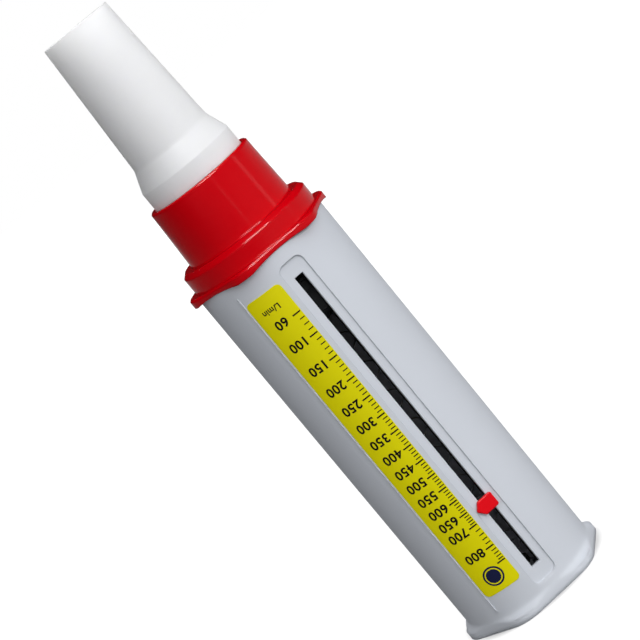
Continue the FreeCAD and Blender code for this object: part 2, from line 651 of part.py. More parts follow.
def piston():
    """Light piston: ribbed crown, skirt and hub, with a walled notch that clears the rails."""
    body = new_body("piston")
    section = new_sketch(body, "piston_section", "XZ_Plane")
    wall = "piston_radius - skirt_wall"
    outline(section, [("bush_radius + fit_gap", "hub_drop"), ("piston_hub", "hub_drop"), ("piston_hub", "crown_low"),
                      (wall, "crown_low"), (wall, "skirt_low"), ("piston_radius", "skirt_low"),
                      ("piston_radius", "piston_top"), ("bush_radius + fit_gap", "piston_top")])
    revolve(body, "Revolution", "piston_turned", section)
    web = new_sketch(body, "piston_rib_line", "XZ_Plane")
    rectangle(web, "spring_radius + wire_half + spring_clear", "piston_radius - skirt_wall / 2",
              "crown_low - rib_deep", "crown_low + crown_thick / 2")
    rib = feature(body, "Pad", "piston_rib", web, Length="rib_wide")
    rib.Midplane = True
    polar(body, "piston_ribs", rib, "rib_count")
    lining = new_sketch(body, "piston_lining", "XY_Plane", "skirt_low")
    cheek = "(notch_half + skirt_wall)"
    reach = f"sqrt(piston_radius ^ 2 - {cheek} ^ 2)"
    rectangle(lining, f"-{cheek}", cheek, f"-{reach}", "-notch_back + skirt_wall")
    feature(body, "Pad", "piston_notch_wall", lining, Length="skirt_long")
    notch = new_sketch(body, "piston_notch", "XY_Plane", "skirt_low")
    rectangle(notch, "-notch_half", "notch_half", "-2 * bore_radius", "-notch_back")
    cutout = feature(body, "Pocket", "piston_notch_cut", notch, Length="skirt_long")
    cutout.Reversed = True
    return node(body, "piston")


def piston_bush():
    """Bush in the piston's hub that runs on the guide rod."""
    body = new_body("piston_bush")
    section = new_sketch(body, "bush_section", "XZ_Plane")
    rectangle(section, "rod_radius + slide_gap", "bush_radius", "hub_drop", "piston_top")
    revolve(body, "Revolution", "bush_turned", section)
    return node(body, "piston_bush")


def pusher():
    """Tongue on the piston that reaches between the rails and carries the pointer along."""
    high = "(piston_top - pusher_drop)"
    half = "(rail_gap - pusher_side_gap)"
    tongue = box("pusher_tongue", f"-{half}", half, "-(saddle_back - pusher_reach_gap)", "-notch_back",
                 f"{high} - pusher_high", high)
    return node(tongue, "pusher")


def return_spring():
    """Long light coil spring between the cup and the piston's crown, in straight steps of square wire.

    Each step is ruled between two squares that stand in planes through the axis.
    """
    radius, half = size["spring_radius"], size["wire_half"]
    low = number("cup_top + spring_gap + wire_half")
    high = number("crown_low - spring_gap - wire_half")
    steps = round(size["turn_count"] * size["step_count"])
    squares = []
    for i in range(steps + 1):
        turn = 2 * math.pi * i / size["step_count"]
        level = low + (high - low) * i / steps
        corners = []
        for out, up in ((-half, -half), (half, -half), (half, half), (-half, half)):
            reach = radius + out
            corners.append(FreeCAD.Vector(reach * math.cos(turn), reach * math.sin(turn), level + up))
        squares.append(Part.makePolygon(corners + corners[:1]))
    coil = doc.addObject("Part::Feature", "spring_coil")
    coil.Shape = Part.makeLoft(squares, True, True)
    return node(coil, "return_spring")


def spring_cup():
    """Cup round the rod's boss that keeps the spring's foot in place."""
    inner = "spring_radius + wire_half + spring_gap"
    body = new_body("spring_cup")
    section = new_sketch(body, "cup_section", "XZ_Plane")
    outline(section, [("boss_radius + plug_gap", "plate_top"), (f"{inner} + cup_rim", "plate_top"),
                      (f"{inner} + cup_rim", "cup_top + cup_rim"), (inner, "cup_top + cup_rim"),
                      (inner, "cup_top"), ("boss_radius + plug_gap", "cup_top")])
    revolve(body, "Revolution", "cup_turned", section)
    return node(body, "spring_cup")


def buffer(label, low, high):
    """Soft ring round the guide rod between two heights."""
    ring = cylinder(f"{label}_ring", "buffer_radius", f"({high}) - ({low})", low)
    hole = cylinder(f"{label}_hole", "rod_radius + slide_gap", f"({high}) - ({low})", low)
    return node(cut(f"{label}_cut", ring, hole), label)


def pointer():
    """Five-sided pointer in the recess, with the stem that passes through the slot."""
    body = new_body("pointer")
    low = "pointer_rest - pointer_high / 2"
    high = "pointer_rest + pointer_high / 2"
    face = new_sketch(body, "pointer_face", "XZ_Plane", "pointer_under")
    outline(face, [("tip_gap - recess_width / 2", "pointer_rest"), ("-pointer_neck", low),
                   ("pointer_tail", low), ("pointer_tail", high), ("-pointer_neck", high)])
    plate = feature(body, "Pad", "pointer_plate", face, Length="pointer_thick")
    front = number("pointer_under + pointer_thick")

    def across(edge):
        ends = [vertex.Point for vertex in edge.Vertexes]
        return abs(ends[0].y - ends[1].y) > size["pointer_thick"] / 2

    def on_front(edge):
        return all(abs(vertex.Point.y + front) < 1e-4 for vertex in edge.Vertexes)

    rounded = dress(body, "Fillet", "pointer_corners", plate, across, "pointer_corner")
    dress(body, "Chamfer", "pointer_ease", rounded, on_front, "pointer_edge")
    stem = new_sketch(body, "pointer_stem_face", "XZ_Plane", "saddle_back")
    rectangle(stem, "-stem_half", "stem_half", "pointer_rest - stem_high / 2", "pointer_rest + stem_high / 2")
    feature(body, "Pad", "pointer_stem", stem, Length="pointer_under + pointer_thick / 2 - saddle_back")
    return node(body, "pointer")


def pointer_saddle():
    """Plate behind the slot that the pointer's stem is fixed in."""
    body = new_body("pointer_saddle")
    face = new_sketch(body, "saddle_face", "XZ_Plane", "saddle_back")
    rectangle(face, "-saddle_half", "saddle_half", "pointer_rest - saddle_high / 2",
              "pointer_rest + saddle_high / 2")
    plate = feature(body, "Pad", "saddle_plate", face, Length="saddle_thick")

    def across(edge):
        ends = [vertex.Point for vertex in edge.Vertexes]
        return abs(ends[0].y - ends[1].y) > size["saddle_thick"] / 2

    dress(body, "Fillet", "saddle_corners", plate, across, "saddle_corner")
    stem = new_sketch(body, "saddle_stem_face", "XZ_Plane", "saddle_back")
    rectangle(stem, "-(stem_half + fit_gap)", "stem_half + fit_gap", "pointer_rest - stem_high / 2 - fit_gap",
              "pointer_rest + stem_high / 2 + fit_gap")
    hole = feature(body, "Pocket", "saddle_hole", stem, Length="saddle_thick")
    hole.Reversed = True
    return node(body, "pointer_saddle")


def friction_pad():
    """Felt pad on the saddle that rubs on the bore and keeps the pointer where it was pushed."""
    half = "(saddle_half - pad_inset)"
    tall = "(saddle_high / 2 - pad_inset)"
    pad = box("pad_blank", f"-{half}", half, "-(saddle_front + pad_thick)", "-saddle_front",
              f"pointer_rest - {tall}", f"pointer_rest + {tall}")
    hole = box("pad_hole", "-(stem_half + fit_gap)", "stem_half + fit_gap", "-(saddle_front + 2 * pad_thick)",
               "-(saddle_front - pad_thick)", "pointer_rest - stem_high / 2 - fit_gap",
               "pointer_rest + stem_high / 2 + fit_gap")
    return node(cut("friction_pad_cut", pad, hole), "friction_pad")


def check_objects():
    """Stop before anything is written if an object failed or a sub-part isn't one valid solid."""
    for item in doc.Objects:
        if "Invalid" in item.State or "Error" in item.State:
            raise RuntimeError(f"{item.Name} failed: {item.State}")
    for item in nodes:
        shape = item.Shape
        if shape.isNull() or not shape.isValid() or len(shape.Solids) != 1:
            raise RuntimeError(f"{item.Label} is not one valid solid")


body_shell()
scale_label()
base_cap()
inlet_cap()
mouthpiece()
guide_rod()
rod_clip()
rod_screw()
rod_spider()
for side in (-1, 1):
    rail(side)
piston()
piston_bush()
pusher()
return_spring()
spring_cup()
buffer("home_buffer", "piston_top + buffer_gap", "spider_low")
buffer("end_buffer", "boss_high", "boss_high + end_buffer_high")
pointer()
pointer_saddle()
friction_pad()
doc.removeObject("Desk")
doc.recompute()
check_objects()
for item in nodes:
    item.Shape.exportStep(f"parts/{item.Label}.step")
    bounds = item.Shape.BoundBox
    print(f"{item.Label}: {item.Shape.Volume:.1f} mm3, z {bounds.ZMin:.2f} to {bounds.ZMax:.2f}")
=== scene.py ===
# %% [markdown]
# Peak flow meter: dressing a finished construction.
# The meter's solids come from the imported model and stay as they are. This script gives every
# piece its finish, prints the yellow scale and sets up a small studio with the camera of the
# photograph. Only the return spring's wire is wound anew, because the solid's wire is a stand-in.
# Lengths are metres, Z runs from the base flange to the mouth, the front is -Y.

# %% Load the construction
import json
import math
import bmesh
import bpy
from mathutils import Matrix, Vector


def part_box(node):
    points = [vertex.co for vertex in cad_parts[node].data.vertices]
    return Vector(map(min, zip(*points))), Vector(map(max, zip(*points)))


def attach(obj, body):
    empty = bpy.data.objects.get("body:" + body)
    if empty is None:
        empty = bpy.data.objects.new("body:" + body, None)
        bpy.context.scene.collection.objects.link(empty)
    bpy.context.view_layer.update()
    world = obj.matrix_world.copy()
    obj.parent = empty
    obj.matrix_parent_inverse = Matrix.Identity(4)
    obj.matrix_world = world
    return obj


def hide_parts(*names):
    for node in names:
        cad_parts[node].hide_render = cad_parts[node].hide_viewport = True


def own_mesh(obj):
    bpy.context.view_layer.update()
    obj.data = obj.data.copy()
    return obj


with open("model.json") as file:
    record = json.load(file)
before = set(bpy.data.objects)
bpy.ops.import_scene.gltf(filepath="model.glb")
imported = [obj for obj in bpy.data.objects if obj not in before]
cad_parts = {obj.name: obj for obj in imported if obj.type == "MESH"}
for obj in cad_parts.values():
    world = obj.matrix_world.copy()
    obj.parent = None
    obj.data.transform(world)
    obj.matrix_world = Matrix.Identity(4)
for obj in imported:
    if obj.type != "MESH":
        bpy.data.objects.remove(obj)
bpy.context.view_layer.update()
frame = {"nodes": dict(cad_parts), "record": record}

MM = 0.001

# %% [markdown]
# Camera. The meter stands upright here and lies diagonally in the photograph, so the camera is
# rolled. The aim point is on the meter's axis; yaw turns the view round the meter, tilt lifts the
# camera towards the mouth end, and roll turns the picture. Building the turn from three plain
# rotations keeps each of these numbers readable.

# %% Camera of the photograph
CAMERA_DISTANCE = 0.6269
AIM_HEIGHT = 0.0993
AIM_SIDE = -0.0009
YAW = math.radians(10.9)
TILT = math.radians(10.14)
ROLL = math.radians(-39.53)
LENS = 126.3


def place_camera():
    data = bpy.data.cameras.new("photo_camera")
    data.sensor_width = 36.0
    data.lens = LENS
    data.clip_start = 0.01
    camera = bpy.data.objects.new("photo_camera", data)
    bpy.context.scene.collection.objects.link(camera)
    turn = Matrix.Rotation(-YAW, 4, "Z") @ Matrix.Rotation(-TILT, 4, "X") @ Matrix.Rotation(-ROLL, 4, "Y")
    place = turn @ Vector((-AIM_SIDE, -CAMERA_DISTANCE, 0)) + Vector((0, 0, AIM_HEIGHT))
    camera.matrix_world = Matrix.Translation(place) @ turn @ Matrix.Rotation(math.radians(90), 4, "X")
    bpy.context.scene.camera = camera
    return camera


camera = place_camera()
print("camera in mm:", [round(v / MM) for v in camera.matrix_world.translation])

# %% [markdown]
# Studio. The photograph was lit from the front and a little from the right: the right half of the
# body is one even tone, and the left flank falls to about half of it. A lamp would give hard
# shadow edges, so the world itself is the light: a dome with a wide bright patch round its middle
# and hardly any light behind the meter. A smooth step between the two gives the flank its slow fall.

# %% Dome of light
LIGHT_MIDDLE = Vector((0.27, -0.94, 0.21)).normalized()
LIGHT_SIDE = 1.42
DARK_SIDE = 0.09
PATCH_EDGE = 0.1
PATCH_FULL = 0.5


def math_node(tree, operation, first, second):
    """Math node; each input is a socket or a plain number."""
    node = tree.nodes.new("ShaderNodeMath")
    node.operation = operation
    for slot, value in enumerate((first, second)):
        if isinstance(value, (int, float)):
            node.inputs[slot].default_value = value
        else:
            tree.links.new(value, node.inputs[slot])
    return node.outputs[0]


def dome_level(tree):
    """Brightness of the dome, from the dark side of the studio to the light one."""
    place = tree.nodes.new("ShaderNodeTexCoord")
    facing = tree.nodes.new("ShaderNodeVectorMath")
    facing.operation = "DOT_PRODUCT"
    facing.inputs[1].default_value = LIGHT_MIDDLE
    tree.links.new(place.outputs["Generated"], facing.inputs[0])
    ramp = tree.nodes.new("ShaderNodeMapRange")
    ramp.interpolation_type = "SMOOTHSTEP"
    ramp.inputs["From Min"].default_value = PATCH_EDGE
    ramp.inputs["From Max"].default_value = PATCH_FULL
    ramp.inputs["To Min"].default_value = DARK_SIDE
    ramp.inputs["To Max"].default_value = LIGHT_SIDE
    tree.links.new(facing.outputs["Value"], ramp.inputs["Value"])
    return ramp.outputs["Result"]


print("dome from", DARK_SIDE, "to", LIGHT_SIDE)

# %% [markdown]
# World. The dome lights the meter, but the camera must see plain white behind it. Light Path tells
# the two apart: camera rays and rays through clear glass get white, and all others get the dome,
# so no extra light falls on the meter for the background. Glossy rays get only a tenth of the
# dome, because its whole brightness would lie on the red cap like a film of milk.

# %% World
MIRRORED = 0.1
STUDIO_WHITE = (0.98, 0.99, 1.0, 1)


def light_the_world():
    """World whose strength depends on the kind of ray that meets it."""
    world = bpy.data.worlds.new("studio_world")
    world.use_nodes = True
    tree = world.node_tree
    path = tree.nodes.new("ShaderNodeLightPath")
    dome = dome_level(tree)
    camera_ray = path.outputs["Is Camera Ray"]
    seen = math_node(tree, "MAXIMUM", camera_ray, path.outputs["Is Transmission Ray"])
    held = math_node(tree, "MULTIPLY", path.outputs["Is Glossy Ray"], 1 - MIRRORED)
    strength = math_node(tree, "MULTIPLY", dome, math_node(tree, "SUBTRACT", 1.0, held))
    light = tree.nodes["Background"]
    light.inputs["Color"].default_value = STUDIO_WHITE
    tree.links.new(strength, light.inputs["Strength"])
    white = tree.nodes.new("ShaderNodeBackground")
    white.inputs["Color"].default_value = (1, 1, 1, 1)
    pick = tree.nodes.new("ShaderNodeMixShader")
    tree.links.new(seen, pick.inputs[0])
    tree.links.new(light.outputs[0], pick.inputs[1])
    tree.links.new(white.outputs[0], pick.inputs[2])
    tree.links.new(pick.outputs[0], tree.nodes["World Output"].inputs["Surface"])
    bpy.context.scene.world = world


light_the_world()
print("glossy rays see", MIRRORED, "of the dome")

# %% [markdown]
# Floor. A sheet of grey paper takes the meter's shadow, and a glow of its own makes it look white.
# Only the camera and clear glass see that glow at full strength. Glossy pieces see a quarter of it,
# and less towards the left, where the cap is dark in the photograph. The glow ends under the
# meter, because it would shine through the exhaust slits when the slot is seen from above. It fades
# out between 25 and 19 mm from the axis, so the bare grey paper just round the foot is a painted
# contact shadow.

# %% Glow of the floor
PAPER_GREY = 0.18
FLOOR_GLOW = 0.9
GLOSS_SHARE = 0.25
GLOSS_LEFT = -0.2
GLOSS_RIGHT = 0.25
# Radii over which the floor's glow fades round the foot, which paints a contact shadow there.
PAINTED_FOOT_SHADE_INSIDE = 19 * MM
PAINTED_FOOT_SHADE_OUTSIDE = 25 * MM


def map_range(tree, value, low, high):
    """Value from 0 at low to 1 at high."""
    node = tree.nodes.new("ShaderNodeMapRange")
    node.inputs["From Min"].default_value = low
    node.inputs["From Max"].default_value = high
    tree.links.new(value, node.inputs["Value"])
    return node.outputs["Result"]


def floor_glow(tree):
    """Strength of the glow for the kind of ray and the place on the floor; its fade round the foot paints
    a contact shadow.
    """
    path = tree.nodes.new("ShaderNodeLightPath")
    camera_ray = path.outputs["Is Camera Ray"]
    clear = math_node(tree, "MAXIMUM", camera_ray, path.outputs["Is Transmission Ray"])
    place = tree.nodes.new("ShaderNodeTexCoord")
    apart = tree.nodes.new("ShaderNodeSeparateXYZ")
    tree.links.new(place.outputs["Object"], apart.inputs[0])
    across = map_range(tree, apart.outputs["X"], GLOSS_LEFT, GLOSS_RIGHT)
    share = math_node(tree, "MULTIPLY", across, GLOSS_SHARE)
    mirror = math_node(tree, "MULTIPLY", path.outputs["Is Glossy Ray"], share)
    reach = tree.nodes.new("ShaderNodeVectorMath")
    reach.operation = "LENGTH"
    tree.links.new(place.outputs["Object"], reach.inputs[0])
    # The glow fades out near the foot, so the darker paper round the flange is a painted contact shadow.
    beside = map_range(tree, reach.outputs["Value"], PAINTED_FOOT_SHADE_INSIDE, PAINTED_FOOT_SHADE_OUTSIDE)
    level = math_node(tree, "MULTIPLY", math_node(tree, "MAXIMUM", clear, mirror), FLOOR_GLOW)
    return math_node(tree, "MULTIPLY", level, beside)


# %% Floor
FLOOR_HALF = 3.0


def paper_material():
    material = bpy.data.materials.new("studio_paper")
    material.use_nodes = True
    tree = material.node_tree
    paper = tree.nodes["Principled BSDF"]
    paper.inputs["Base Color"].default_value = (PAPER_GREY, PAPER_GREY, PAPER_GREY, 1)
    paper.inputs["Roughness"].default_value = 0.9
    paper.inputs["Specular IOR Level"].default_value = 0.0
    glow = tree.nodes.new("ShaderNodeEmission")
    tree.links.new(floor_glow(tree), glow.inputs["Strength"])
    both = tree.nodes.new("ShaderNodeAddShader")
    tree.links.new(paper.outputs[0], both.inputs[0])
    tree.links.new(glow.outputs[0], both.inputs[1])
    tree.links.new(both.outputs[0], tree.nodes["Material Output"].inputs["Surface"])
    return material


def lay_floor(half):
    corners = [(-half, -half, 0), (half, -half, 0), (half, half, 0), (-half, half, 0)]
    mesh = bpy.data.meshes.new("studio_floor")
    mesh.from_pydata(corners, [], [(0, 1, 2, 3)])
    mesh.materials.append(paper_material())
    floor = bpy.data.objects.new("studio_floor", mesh)
    bpy.context.scene.collection.objects.link(floor)


lay_floor(FLOOR_HALF)
print("floor of", 2 * FLOOR_HALF, "m")

# %% [markdown]
# Panels. The photograph has thin bright streaks along the cap's edges and long soft ones down its
# tube. They are reflections of lamps, so three cards are hung that only glossy surfaces see, and
# that add no light to anything else. Two more panels do the reverse: the key panel deepens the
# shadows under the flange and in the recess, and the back panel lights the back of the meter, so
# that it doesn't sink into the dark in the other views.

# %% Soft panels


def hang_panel(name, place, aim, width, height, power, gloss_only=True):
    """Rectangular soft light at a place, facing the aim point.

    A gloss-only panel is a thin card that shows in glossy surfaces and adds no light to the others.
    """
    data = bpy.data.lights.new(name, "AREA")
    data.shape = "RECTANGLE"
    data.size = width
    data.size_y = height
    data.energy = power
    panel = bpy.data.objects.new(name, data)
    bpy.context.scene.collection.objects.link(panel)
    panel.location = place
    panel.rotation_euler = (Vector(aim) - Vector(place)).to_track_quat("-Z", "Y").to_euler()
    panel.visible_diffuse = not gloss_only
    panel.visible_glossy = gloss_only
    print(name, "of", width, "by", height, "m and", power, "W")


MIDDLE = (0, 0, 0.1)
hang_panel("side_strip", (0.85, -0.35, 0.45), MIDDLE, 0.15, 1.0, 0.4)
hang_panel("front_strip", (0.12, -1.1, 0.35), MIDDLE, 0.03, 0.9, 0.1)
hang_panel("key_panel", (0.622, -0.919, 0.45), MIDDLE, 0.4, 0.4, 3.6, gloss_only=False)
hang_panel("back_panel", (0.15, 1.4, 0.6), MIDDLE, 1.1, 1.1, 17.0, gloss_only=False)
hang_panel("edge_strip", (0.06, -0.62, 0.95), (0, 0, 0.13), 0.7, 0.3, 26.0)

# %% [markdown]
# Finishes. Every plastic here is injection moulded: its skin is smooth with a very fine grain, its
# edges are eased by the mould, and its tone drifts slowly. These effects could be built anew in
# each material. As node groups with their own inputs they are built once and placed in each
# material with the values of that piece.

# %% Empty node group


def new_group(name, inputs, outputs):
    """Empty shader node group with the named sockets, and its input and output nodes."""
    group = bpy.data.node_groups.new(name, "ShaderNodeTree")
    for label, kind, value in inputs:
        socket = group.interface.new_socket(name=label, in_out="INPUT", socket_type=kind)
        socket.default_value = value
    for label, kind in outputs:
        group.interface.new_socket(name=label, in_out="OUTPUT", socket_type=kind)
    return group, group.nodes.new("NodeGroupInput"), group.nodes.new("NodeGroupOutput")


# %% [markdown]
# Skin. A mould leaves a grain far finer than a picture's point, so it is a noise that only bends
# the normal. The Bevel node rounds sharp edges in the shading alone, and its normal goes into the
# bump, so grain and edges add up. A second, coarser noise spreads the roughness, as on parts
# that have been handled.

# %% Drawn-out grain
GRAIN_DETAIL = 3.0


def drawn_grain(group, place, start):
    """Height of the grain, stretched along Z where Grain Rise is below 1."""
    link = group.links.new
    rise = group.nodes.new("ShaderNodeCombineXYZ")
    rise.inputs["X"].default_value = 1.0
    rise.inputs["Y"].default_value = 1.0
    link(start.outputs["Grain Rise"], rise.inputs["Z"])
    drawn_out = group.nodes.new("ShaderNodeVectorMath")
    drawn_out.operation = "MULTIPLY"
    link(place.outputs["Object"], drawn_out.inputs[0])
    link(rise.outputs[0], drawn_out.inputs[1])
    grain = group.nodes.new("ShaderNodeTexNoise")
    grain.inputs["Detail"].default_value = GRAIN_DETAIL
    link(drawn_out.outputs[0], grain.inputs["Vector"])
    link(start.outputs["Grain Scale"], grain.inputs["Scale"])
    return grain.outputs["Fac"]


# %% Spread of the roughness
SMEAR_SCALE = 90.0
SMEAR_DETAIL = 2.0


def spread_roughness(group, place, start):
    """Roughness that varies a little over the piece."""
    link = group.links.new
    smear = group.nodes.new("ShaderNodeTexNoise")
    smear.inputs["Scale"].default_value = SMEAR_SCALE
    smear.inputs["Detail"].default_value = SMEAR_DETAIL
    link(place.outputs["Object"], smear.inputs["Vector"])
    centred = math_node(group, "SUBTRACT", smear.outputs["Fac"], 0.5)
    spread = group.nodes.new("ShaderNodeMath")
    spread.operation = "MULTIPLY_ADD"
    link(centred, spread.inputs[0])
    link(start.outputs["Roughness Spread"], spread.inputs[1])
    link(start.outputs["Roughness"], spread.inputs[2])
    return spread.outputs[0]


# %% Moulded skin
EDGE_SAMPLES = 6


def moulded_skin():
    """Fine grain and eased edges for Roughness and Normal; Grain Rise below 1 draws it out along Z."""
    group, start, end = new_group(
        "moulded_skin",
        [("Grain Scale", "NodeSocketFloat", 2500.0), ("Grain Depth", "NodeSocketFloat", 0.00001),
         ("Grain Rise", "NodeSocketFloat", 1.0),
         ("Roughness", "NodeSocketFloat", 0.35), ("Roughness Spread", "NodeSocketFloat", 0.05),
         ("Edge Radius", "NodeSocketFloat", 0.0002)],
        [("Roughness", "NodeSocketFloat"), ("Normal", "NodeSocketVector")])
    link = group.links.new
    place = group.nodes.new("ShaderNodeTexCoord")
    bump = group.nodes.new("ShaderNodeBump")
    bump.inputs["Strength"].default_value = 1.0
    link(start.outputs["Grain Depth"], bump.inputs["Distance"])
    link(drawn_grain(group, place, start), bump.inputs["Height"])
    eased = group.nodes.new("ShaderNodeBevel")
    eased.samples = EDGE_SAMPLES
    link(start.outputs["Edge Radius"], eased.inputs["Radius"])
    link(eased.outputs["Normal"], bump.inputs["Normal"])
    link(bump.outputs["Normal"], end.inputs["Normal"])
    link(spread_roughness(group, place, start), end.inputs["Roughness"])
    return group


SKIN = moulded_skin()
print("moulded skin has", len(SKIN.nodes), "nodes")

# %% [markdown]
# Tone. Moulded plastic and rolled metal are never one even colour. A slow noise mixes a few
# hundredths of black into the colour, in patches about as wide as a finger. A second colour
# would do it too, but then every finish would need two.

# %% Drifting tone
PATCH_DETAIL = 2.0


def tone_drift():
    """Slow drift between a colour and a slightly darker one."""
    group, start, end = new_group(
        "tone_drift",
        [("Colour", "NodeSocketColor", (0.8, 0.8, 0.8, 1)), ("Drift", "NodeSocketFloat", 0.04),
         ("Patch Scale", "NodeSocketFloat", 40.0)],
        [("Colour", "NodeSocketColor")])
    link = group.links.new
    place = group.nodes.new("ShaderNodeTexCoord")
    patches = group.nodes.new("ShaderNodeTexNoise")
    patches.inputs["Detail"].default_value = PATCH_DETAIL
    link(place.outputs["Object"], patches.inputs["Vector"])
    link(start.outputs["Patch Scale"], patches.inputs["Scale"])
    amount = group.nodes.new("ShaderNodeMath")
    amount.operation = "MULTIPLY"
    link(patches.outputs["Fac"], amount.inputs[0])
    link(start.outputs["Drift"], amount.inputs[1])
    mix = group.nodes.new("ShaderNodeMix")
    mix.data_type = "RGBA"
    mix.blend_type = "MULTIPLY"
    mix.inputs["B"].default_value = (0.0, 0.0, 0.0, 1)
    link(amount.outputs[0], mix.inputs["Factor"])
    link(start.outputs["Colour"], mix.inputs["A"])
    link(mix.outputs["Result"], end.inputs["Colour"])
    return group


DRIFT = tone_drift()
print("tone drift has", len(DRIFT.nodes), "nodes")

# %% [markdown]
# One recipe serves plastic, metal, rubber and felt, because on a small part they differ in
# colour, gloss and grain and not in how they are built. Numbers that are the same all over a
# piece, such as its metallic value, are set on the shader's own sockets, where the export finds them.

# %% Recipe of a finish
SCATTER_TINT = (1.0, 1.0, 0.95)


def place_group(tree, group, **values):
    """Group node in a material, with its inputs set; an underscore in a name stands for a space."""
    node = tree.nodes.new("ShaderNodeGroup")
    node.node_tree = group
    for name, value in values.items():
        node.inputs[name.replace("_", " ")].default_value = value
    return node


def finish(name, colour, roughness, grain=2500.0, depth=0.008 * MM, rise=1.0, spread=0.06, drift=0.05,
           edge=0.15 * MM, metallic=0.0, specular=0.5, scatter=0.0, scatter_reach=1.0 * MM):
    """Material of a moulded or turned piece: drifting tone, fine grain and the shader's own gloss."""
    material = bpy.data.materials.new(name)
    material.use_nodes = True
    tree = material.node_tree
    shader = tree.nodes["Principled BSDF"]
    tone = place_group(tree, DRIFT, Colour=(*colour, 1), Drift=drift)
    skin = place_group(tree, SKIN, Grain_Scale=grain, Grain_Depth=depth, Grain_Rise=rise,
                       Roughness=roughness, Roughness_Spread=spread, Edge_Radius=edge)
    tree.links.new(tone.outputs["Colour"], shader.inputs["Base Color"])
    tree.links.new(skin.outputs["Roughness"], shader.inputs["Roughness"])
    tree.links.new(skin.outputs["Normal"], shader.inputs["Normal"])
    shader.inputs["Metallic"].default_value = metallic
    shader.inputs["Specular IOR Level"].default_value = specular
    shader.inputs["Subsurface Weight"].default_value = scatter
    shader.inputs["Subsurface Scale"].default_value = scatter_reach
    shader.inputs["Subsurface Radius"].default_value = SCATTER_TINT
    return material


# %% [markdown]
# Outer plastics. The mouthpiece is a satin white that light soaks into, so it scatters under the
# skin and has soft edges. The cap is a glossy red whose rounded edges catch the streaks, the body
# a smooth pale grey, and the pointer a brighter red than the cap. The label is a yellow film.

# %% Outer finishes
FINISHES = {
    "white_plastic": finish("mouthpiece_white", (0.955, 0.950, 0.965), 0.5, depth=0.01 * MM,
                            edge=0.4 * MM, specular=0.2, scatter=1.0, scatter_reach=3.6 * MM),
    "red_cap": finish("cap_red", (0.58, 0.0, 0.004), 0.1, grain=700.0, depth=0.006 * MM,
                      edge=0.8 * MM, specular=0.2),
    "body_grey": finish("body_grey", (0.61, 0.635, 0.685), 0.45, grain=1800.0, edge=0.3 * MM,
                        specular=0.1),
    "plug_grey": finish("plug_grey", (0.60, 0.62, 0.66), 0.4, grain=1800.0),
    "label_film": finish("label_yellow", (0.77, 0.70, 0.0), 0.4, grain=900.0, depth=0.01 * MM,
                         drift=0.03, specular=0.12),
    "pointer_red": finish("pointer_red", (0.78, 0.002, 0.008), 0.25, grain=900.0, edge=0.3 * MM,
                          specular=0.2),
}
print(len(FINISHES), "outer finishes")

# %% [markdown]
# Foot of the body. The flange flares softly out of the round body, while the solid has a crisp
# line there. The Bevel node in the skin eases an edge without new faces, so near the foot its
# radius grows. A wider radius all over would wash out the recess and the ridge as well.

# %% Soft flare at the foot
BASE_EASE = 2.2 * MM
FLARE_TOP = 7.0 * MM
FLARE_FADE = 2.0 * MM


def ease_the_base(material):
    """Wider easing of the edges near the meter's foot."""
    tree = material.node_tree
    skin = next(node for node in tree.nodes if node.type == "GROUP" and node.node_tree == SKIN)
    place = tree.nodes.new("ShaderNodeTexCoord")
    apart = tree.nodes.new("ShaderNodeSeparateXYZ")
    tree.links.new(place.outputs["Object"], apart.inputs[0])
    fall = tree.nodes.new("ShaderNodeMapRange")
    fall.inputs["From Min"].default_value = FLARE_TOP - FLARE_FADE
    fall.inputs["From Max"].default_value = FLARE_TOP
    fall.inputs["To Min"].default_value = BASE_EASE
    fall.inputs["To Max"].default_value = skin.inputs["Edge Radius"].default_value
    tree.links.new(apart.outputs["Z"], fall.inputs["Value"])
    tree.links.new(fall.outputs["Result"], skin.inputs["Edge Radius"])


ease_the_base(FINISHES["body_grey"])
print("edges ease over", BASE_EASE / MM, "mm at the foot")

# %% [markdown]
# Metals. The rod and the cup are drawn, so their grain is stretched along Z by a small Grain
# Rise. The clip, the screw and the spring are stamped, zinc plated or coiled, and only their gloss
# and tone vary.

# %% Metal finishes
FINISHES.update({
    "rod_steel": finish("rod_steel", (0.55, 0.56, 0.58), 0.25, grain=4000.0, rise=0.02, spread=0.15,
                        metallic=1.0),
    "clip_steel": finish("clip_steel", (0.35, 0.35, 0.37), 0.35, grain=3000.0, spread=0.2, drift=0.2,
                         metallic=1.0),
    "screw_steel": finish("screw_zinc", (0.5, 0.5, 0.52), 0.35, grain=3000.0, spread=0.2, drift=0.2,
                          metallic=1.0),
    "spring_steel": finish("spring_steel", (0.42, 0.42, 0.44), 0.3, grain=4000.0, spread=0.15, drift=0.2,
                           metallic=1.0),
    "cup_steel": finish("cup_steel", (0.45, 0.45, 0.47), 0.35, grain=3000.0, rise=0.05, spread=0.2,
                        metallic=1.0),
})
print(len(FINISHES), "finishes with the metals")

# %% [markdown]
# Inner plastics, rubber and felt. What can be seen through the slot is black or nearly so, with a
# coarser grain that keeps it matte. The felt has the deepest grain, and the bush the pale
# natural tone of bearing plastic.

# %% Inner finishes
FINISHES.update({
    "black_plastic": finish("rail_black", (0.009, 0.010, 0.012), 0.5, grain=1800.0, depth=0.02 * MM,
                            specular=0.2),
    "dark_plastic": finish("piston_dark", (0.02, 0.021, 0.024), 0.5, grain=1800.0, depth=0.02 * MM,
                           specular=0.2),
    "bush_plastic": finish("bush_natural", (0.55, 0.54, 0.5), 0.45, grain=1800.0),
    "buffer_rubber": finish("buffer_rubber", (0.03, 0.03, 0.032), 0.75, grain=3000.0, depth=0.03 * MM),
    "felt": finish("felt_dark", (0.02, 0.02, 0.022), 0.95, grain=5000.0, depth=0.05 * MM),
})
print(len(FINISHES), "finishes in all")

